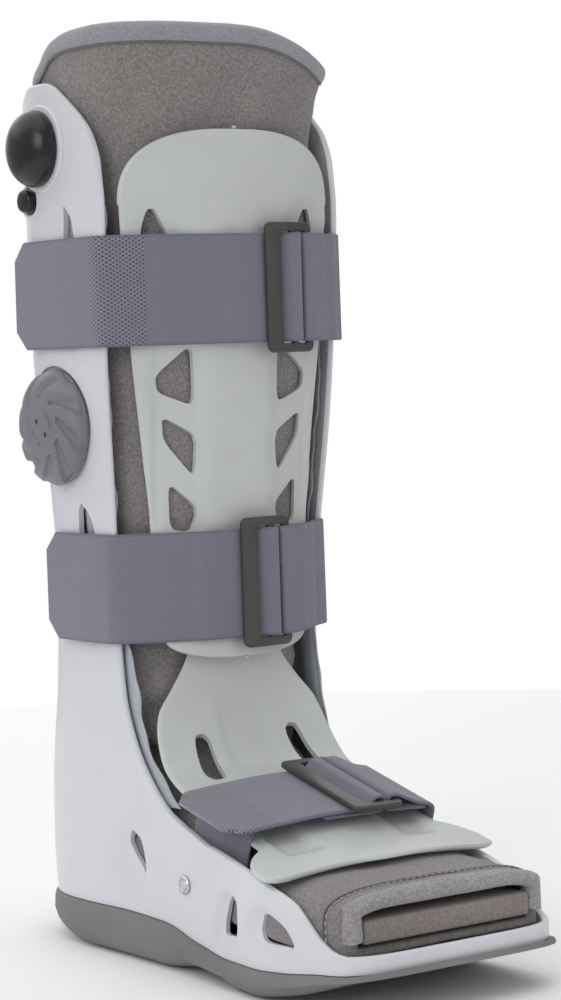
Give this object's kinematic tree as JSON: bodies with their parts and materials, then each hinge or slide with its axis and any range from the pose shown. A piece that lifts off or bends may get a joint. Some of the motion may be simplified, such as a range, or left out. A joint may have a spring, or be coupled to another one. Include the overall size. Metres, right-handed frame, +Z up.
{
  "type": "walking boot",
  "caption": "Tall orthopaedic walking boot: rigid shell with rocker sole, padded liner, shin and instep plates, buckled straps, pump bulb and selector dial.",
  "frame": {"origin": "middle of the sole's flat walking face, on the boot's plane of symmetry", "axes": "+Z up along the calf, toe towards -Y, heel towards +Y, bulb and dial on the -X side"},
  "size_m": [0.1516, 0.2834, 0.4261],
  "materials": {
    "shell_white": "satin white moulded plastic",
    "panel_grey": "satin light grey plastic",
    "sole_rubber": "matt grey",
    "liner_fabric": "heathered brushed fabric over foam",
    "foam_taupe": "matt foam slab",
    "vinyl_clear": "clear glossy vinyl",
    "strap_webbing": "woven loop webbing",
    "buckle_plastic": "matt charcoal",
    "bulb_rubber": "satin black",
    "dial_plastic": "matt slate grey",
    "screw_metal": "brushed"
  },
  "bodies": {
    "boot": {"sole": "sole_rubber", "shell": "shell_white", "liner": "liner_fabric", "footbed": "foam_taupe", "front_panel": "panel_grey", "foot_panel": "panel_grey", "air_cell_right": "vinyl_clear", "air_cell_left": "vinyl_clear", "top_strap_long": "strap_webbing", "top_strap_short": "strap_webbing", "top_buckle": "buckle_plastic", "middle_strap_long": "strap_webbing", "middle_strap_short": "strap_webbing", "middle_buckle": "buckle_plastic", "foot_strap_anchor": "strap_webbing", "foot_strap_long": "strap_webbing", "foot_strap_short": "strap_webbing", "foot_buckle": "buckle_plastic", "bulb": "bulb_rubber", "side_screw_right": "screw_metal", "side_screw_left": "screw_metal"},
    "dial": {"selector_dial": "dial_plastic"},
    "valve": {"valve_button": "bulb_rubber"}
  },
  "joints": [
    {"name": "dial_turn", "type": "hinge", "parent": "boot", "child": "dial", "pos_m": [-0.064, 0.0585, 0.245], "axis": [-1, 0, 0], "range_deg": [-135, 135]},
    {"name": "valve_press", "type": "slide", "parent": "boot", "child": "valve", "axis": [1, 0, 0], "range_m": [0, 0.0018], "stiffness_N_per_m": 300}
  ]
}
